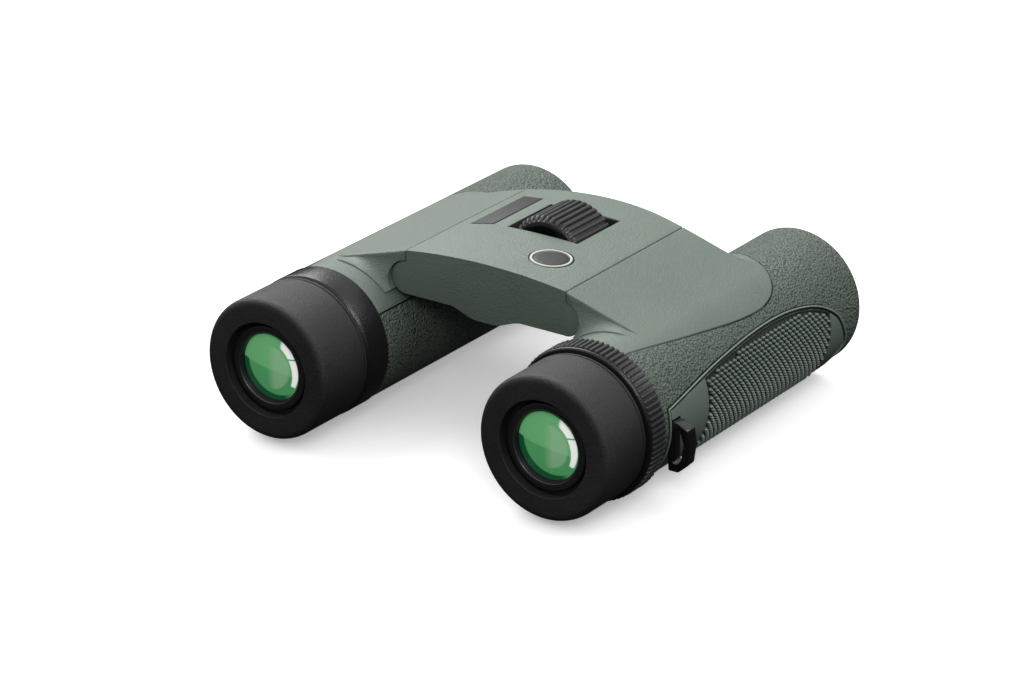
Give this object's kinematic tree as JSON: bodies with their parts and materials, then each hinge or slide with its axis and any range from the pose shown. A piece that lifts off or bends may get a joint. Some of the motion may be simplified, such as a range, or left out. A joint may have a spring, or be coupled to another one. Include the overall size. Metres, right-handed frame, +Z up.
{
  "type": "binoculars",
  "caption": "Compact roof-prism binoculars: two armoured barrels on a double-hinged bridge with a ribbed focus wheel, twist-up eyecups and a dioptre ring.",
  "frame": {"origin": "bottom centre of the bounding box, barrels fully opened", "axes": "+Y forwards, from the eyecups to the objectives; +Z up, the side the focus wheel is on; +X to the user's right"},
  "size_m": [0.1182, 0.1072, 0.0451],
  "materials": {
    "soft_touch": "fine-grained soft-touch grey-green",
    "armour_rubber": "leather-grained grey-green armour",
    "black_plastic": "satin black",
    "gloss_black": "gloss black",
    "eyecup_rubber": "matte black rubber",
    "wheel_rubber": "ribbed dark grey rubber",
    "black_metal": "black anodised",
    "steel": "turned steel",
    "brass": "machined brass",
    "aluminium": "matt aluminium",
    "coated_glass": "green multicoating",
    "clear_glass": "polished glass"
  },
  "bodies": {
    "bridge": {"bridge_housing": "soft_touch", "bridge_bottom_cover": "soft_touch", "bottom_cover_screw_1": "steel", "bottom_cover_screw_2": "steel", "bottom_cover_screw_3": "steel", "bottom_cover_screw_4": "steel", "name_plate": "black_plastic", "badge": "black_plastic", "left_hinge_pin_rear": "steel", "left_hinge_pin_front": "steel", "right_hinge_pin_rear": "steel", "right_hinge_pin_front": "steel", "focus_bush_rear": "brass", "focus_bush_front": "brass"},
    "focus_wheel": {"focus_wheel": "wheel_rubber", "focus_spindle": "brass"},
    "focus_carriage": {"focus_carriage": "brass"},
    "left_barrel": {"left_barrel_tube": "aluminium", "left_top_cover": "soft_touch", "left_armour": "armour_rubber", "left_grip_pad": "armour_rubber", "left_objective_lens": "coated_glass", "left_objective_retainer": "black_metal", "left_prism_cage": "aluminium", "left_prism_rear": "clear_glass", "left_prism_front": "clear_glass", "left_eyepiece_tube": "black_metal", "left_strap_lug": "gloss_black", "left_collar_ring": "black_plastic", "left_ocular_cell": "black_metal", "left_eye_lens": "coated_glass", "left_ocular_spacer": "black_metal", "left_field_lens": "clear_glass"},
    "left_focus_cell": {"left_focus_cell": "black_metal", "left_focus_lens": "clear_glass"},
    "left_eyecup_guide": {"left_eyecup_guide": "brass"},
    "left_eyecup": {"left_eyecup_core": "black_plastic", "left_eyecup_rubber": "eyecup_rubber"},
    "right_barrel": {"right_barrel_tube": "aluminium", "right_top_cover": "soft_touch", "right_armour": "armour_rubber", "right_grip_pad": "armour_rubber", "right_objective_lens": "coated_glass", "right_objective_retainer": "black_metal", "right_prism_cage": "aluminium", "right_prism_rear": "clear_glass", "right_prism_front": "clear_glass", "right_eyepiece_tube": "black_metal", "right_strap_lug": "gloss_black"},
    "right_focus_cell": {"right_focus_cell": "black_metal", "right_focus_lens": "clear_glass"},
    "right_eyecup_guide": {"right_eyecup_guide": "brass"},
    "right_eyecup": {"right_eyecup_core": "black_plastic", "right_eyecup_rubber": "eyecup_rubber"},
    "right_diopter_ring": {"right_diopter_ring": "eyecup_rubber"},
    "right_ocular": {"right_ocular_cell": "black_metal", "right_eye_lens": "coated_glass", "right_ocular_spacer": "black_metal", "right_field_lens": "clear_glass"}
  },
  "joints": [
    {"name": "left_hinge", "type": "hinge", "parent": "bridge", "child": "left_barrel", "pos_m": [-0.0218, -0.0214, 0.0333], "axis": [0, -1, 0], "range_deg": [0, 54]},
    {"name": "right_hinge", "type": "hinge", "parent": "bridge", "child": "right_barrel", "pos_m": [0.0218, -0.0214, 0.0333], "axis": [0, 1, 0], "range_deg": [0, 54]},
    {"name": "focus_turn", "type": "hinge", "parent": "bridge", "child": "focus_wheel", "pos_m": [0, 0.0026, 0.0351], "axis": [0, 1, 0], "range_deg": [-270, 270]},
    {"name": "focus_carriage_slide", "type": "slide", "parent": "bridge", "child": "focus_carriage", "axis": [0, 1, 0], "range_m": [-0.00201, 0.00201]},
    {"name": "left_focus_slide", "type": "slide", "parent": "left_barrel", "child": "left_focus_cell", "axis": [0, 1, 0], "range_m": [-0.00201, 0.00201]},
    {"name": "left_eyecup_slide", "type": "slide", "parent": "left_barrel", "child": "left_eyecup_guide", "axis": [0, -1, 0], "range_m": [0, 0.00801]},
    {"name": "left_eyecup_twist", "type": "hinge", "parent": "left_eyecup_guide", "child": "left_eyecup", "pos_m": [-0.03755, -0.0536, 0.018], "axis": [0, -1, 0], "range_deg": [0, 90]},
    {"name": "right_focus_slide", "type": "slide", "parent": "right_barrel", "child": "right_focus_cell", "axis": [0, 1, 0], "range_m": [-0.00201, 0.00201]},
    {"name": "right_eyecup_slide", "type": "slide", "parent": "right_barrel", "child": "right_eyecup_guide", "axis": [0, -1, 0], "range_m": [0, 0.00801]},
    {"name": "right_eyecup_twist", "type": "hinge", "parent": "right_eyecup_guide", "child": "right_eyecup", "pos_m": [0.03755, -0.0536, 0.018], "axis": [0, -1, 0], "range_deg": [0, 90]},
    {"name": "diopter_turn", "type": "hinge", "parent": "right_barrel", "child": "right_diopter_ring", "pos_m": [0.03755, -0.0383, 0.018], "axis": [0, -1, 0], "range_deg": [-45, 45]},
    {"name": "diopter_slide", "type": "slide", "parent": "right_barrel", "child": "right_ocular", "axis": [0, -1, 0], "range_m": [-0.00131, 0.00131]}
  ],
  "couplings": [
    {"joint": "focus_carriage_slide", "follows": "focus_turn", "m_per_rad": 0.00042441},
    {"joint": "left_focus_slide", "follows": "focus_turn", "m_per_rad": 0.00042441},
    {"joint": "left_eyecup_slide", "follows": "left_eyecup_twist", "m_per_rad": 0.005093},
    {"joint": "right_focus_slide", "follows": "focus_turn", "m_per_rad": 0.00042441},
    {"joint": "right_eyecup_slide", "follows": "right_eyecup_twist", "m_per_rad": 0.005093},
    {"joint": "diopter_slide", "follows": "diopter_turn", "m_per_rad": 0.0016552}
  ]
}
